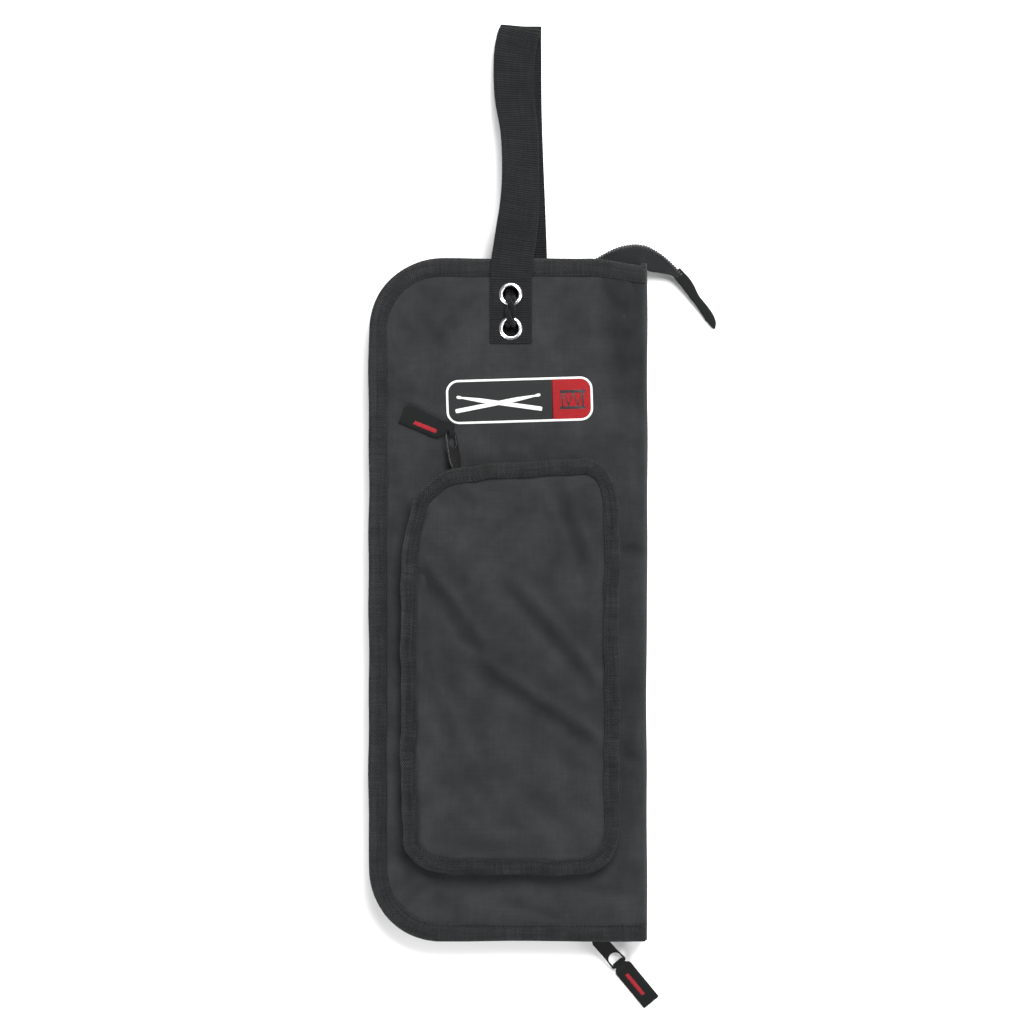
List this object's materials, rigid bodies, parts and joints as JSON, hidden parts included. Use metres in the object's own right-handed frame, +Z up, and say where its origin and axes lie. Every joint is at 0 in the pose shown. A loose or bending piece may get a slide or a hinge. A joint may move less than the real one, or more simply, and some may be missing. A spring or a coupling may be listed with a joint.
{
  "type": "drum stick bag",
  "caption": "Flat padded book-style case for drum sticks, with a zip round three sides, a raised zipped front pocket, a webbing loop handle and stick sleeves inside.",
  "frame": {"origin": "centre of the back cover's outer face, on the surface that the closed case lies on", "axes": "+X across the case towards the spine, +Y along the case towards the loop handle, +Z up out of the front face"},
  "size_m": [0.2488, 0.7098, 0.0516],
  "materials": {
    "shell_fabric": "coarse charcoal weave with a faint sheen",
    "padding_foam": "closed soft foam sheet inside the covers",
    "lining_fabric": "smooth black lining",
    "binding_fabric": "herringbone tape, stitched",
    "zip_tape": "fine woven zip tape",
    "zip_teeth": "moulded coil, satin black",
    "webbing": "ribbed flat webbing",
    "badge_embroidery": "embroidered patch, black and red with a pale edge",
    "eyelet_metal": "polished, lightly handled",
    "cord_braid": "round braided cord",
    "stop_metal": "black lacquer",
    "slider_metal": "glossy black lacquer",
    "tag_fabric": "woven label ribbon with a red stitched bar",
    "tail_tab": "wrapped and stitched end tab"
  },
  "bodies": {
    "back_cover": {"back_shell": "shell_fabric", "back_foam": "padding_foam", "back_lining": "lining_fabric", "back_binding": "binding_fabric", "back_zip_tape": "zip_tape", "back_zip_teeth": "zip_teeth", "back_sleeve_sheet": "lining_fabric", "back_sleeve_trim": "binding_fabric", "spine_panel": "shell_fabric", "handle_back_tab": "webbing", "handle_loop": "webbing", "zip_top_stops": "stop_metal", "zip_tail_inner_tape": "zip_tape", "zip_tail_inner_teeth": "zip_teeth"},
    "front_cover": {"front_shell": "shell_fabric", "front_foam": "padding_foam", "front_lining": "lining_fabric", "front_binding": "binding_fabric", "front_zip_tape": "zip_tape", "front_zip_teeth": "zip_teeth", "front_sleeve_sheet": "lining_fabric", "front_sleeve_trim": "binding_fabric", "handle_front_tab": "webbing", "badge": "badge_embroidery", "front_eyelets": "eyelet_metal", "front_eyelet_washers": "eyelet_metal", "lacing_cord": "cord_braid", "lacing_cord_knots": "cord_braid", "pocket_face": "shell_fabric", "pocket_gusset": "shell_fabric", "pocket_binding": "binding_fabric", "pocket_zip_tape": "zip_tape", "pocket_zip_teeth": "zip_teeth"},
    "zip_tail": {"zip_tail_outer_tape": "zip_tape", "zip_tail_outer_teeth": "zip_teeth", "zip_tail_end_tab": "tail_tab"},
    "main_slider": {"main_slider": "slider_metal"},
    "main_link": {"main_link": "slider_metal"},
    "main_pull": {"main_pull": "slider_metal"},
    "main_tag": {"main_tag": "tag_fabric"},
    "pocket_slider": {"pocket_slider": "slider_metal"},
    "pocket_link": {"pocket_link": "slider_metal"},
    "pocket_pull": {"pocket_pull": "slider_metal"},
    "pocket_tag": {"pocket_tag": "tag_fabric"}
  },
  "joints": [
    {"name": "cover_open", "type": "hinge", "parent": "back_cover", "child": "front_cover", "pos_m": [0.0984, 0, 0.0265], "axis": [0, 1, 0], "range_deg": [0, 180], "deforming": ["spine_panel", "handle_loop"]},
    {"name": "main_slider_run", "type": "slide", "parent": "back_cover", "child": "main_slider", "axis": [-1, 0, 0], "range_m": [0, 0.1]},
    {"name": "main_link_swing", "type": "hinge", "parent": "main_slider", "child": "main_link", "pos_m": [0.0565, -0.23575, 0.017], "axis": [0, 0, 1], "range_deg": [-60, 10]},
    {"name": "main_pull_swing", "type": "hinge", "parent": "main_link", "child": "main_pull", "pos_m": [0.06089, -0.24107, 0.017], "axis": [0.2557, -0.3102, 0.9157], "range_deg": [-30, 12]},
    {"name": "main_tag_fold", "type": "hinge", "parent": "main_pull", "child": "main_tag", "pos_m": [0.08075, -0.26517, 0.00329], "axis": [0.7716, 0.6361, 0], "range_deg": [-60, 0]},
    {"name": "zip_tail_lift", "type": "hinge", "parent": "back_cover", "child": "zip_tail", "pos_m": [0.1015, 0, 0.017], "axis": [0, 1, 0], "range_deg": [-60, 0]},
    {"name": "pocket_slider_run", "type": "slide", "parent": "front_cover", "child": "pocket_slider", "axis": [1, 0, 0], "range_m": [0, 0.07]},
    {"name": "pocket_link_swing", "type": "hinge", "parent": "pocket_slider", "child": "pocket_link", "pos_m": [-0.032, 0.08645, 0.042], "axis": [0, 0, 1], "range_deg": [-20, 10]},
    {"name": "pocket_pull_swing", "type": "hinge", "parent": "pocket_link", "child": "pocket_pull", "pos_m": [-0.03644, 0.09174, 0.042], "axis": [0, 0, 1], "range_deg": [-12, 16]},
    {"name": "pocket_tag_swing", "type": "hinge", "parent": "pocket_pull", "child": "pocket_tag", "pos_m": [-0.04106, 0.11934, 0.03955], "axis": [-0.7076, -0.0559, 0.7044], "range_deg": [-45, 0]}
  ]
}
